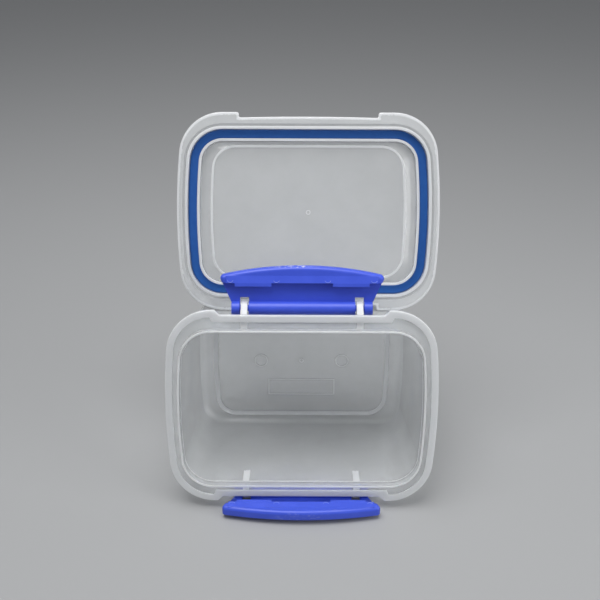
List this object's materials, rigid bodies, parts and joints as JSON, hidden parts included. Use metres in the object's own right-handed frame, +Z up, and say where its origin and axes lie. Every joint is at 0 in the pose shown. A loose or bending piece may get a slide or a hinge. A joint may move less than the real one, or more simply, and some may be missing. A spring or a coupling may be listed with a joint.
{
  "type": "clip-lid lunch box",
  "caption": "Clip-lid lunch box of milky plastic, lying on its long wall: open tub, loose lid with a soft seal standing on it, and blue clips that swing on hooks to latch the lid.",
  "frame": {"origin": "on the surface the box lies on, under the middle of its bounding box", "axes": "+Z up, +X along the box's long side, -Y out of the tub's mouth towards the front"},
  "size_m": [0.2045, 0.1632, 0.2633],
  "materials": {
    "milky_plastic": "milky translucent polypropylene, glossy inside and fine-matte outside",
    "seal_rubber": "soft satin silicone",
    "blue_plastic": "glossy moulded polypropylene"
  },
  "bodies": {
    "tub": {"container_tub": "milky_plastic"},
    "lid": {"lid": "milky_plastic", "lid_seal": "seal_rubber"},
    "front_clip": {"front_clip": "blue_plastic"},
    "rear_clip": {"rear_clip": "blue_plastic"}
  },
  "joints": [
    {"name": "front_clip_pivot", "type": "hinge", "parent": "tub", "child": "front_clip", "pos_m": [-0.00225, -0.05062, 0.005], "axis": [1, 0, 0], "range_deg": [-6, 184]},
    {"name": "rear_clip_pivot", "type": "hinge", "parent": "tub", "child": "rear_clip", "pos_m": [-0.00225, -0.01672, 0.14783], "axis": [-1, 0, 0], "range_deg": [-95, 95]},
    {"name": "lid_lift", "type": "slide", "parent": "tub", "child": "lid", "axis": [0, 0, 1], "range_m": [0, 0.08]}
  ]
}
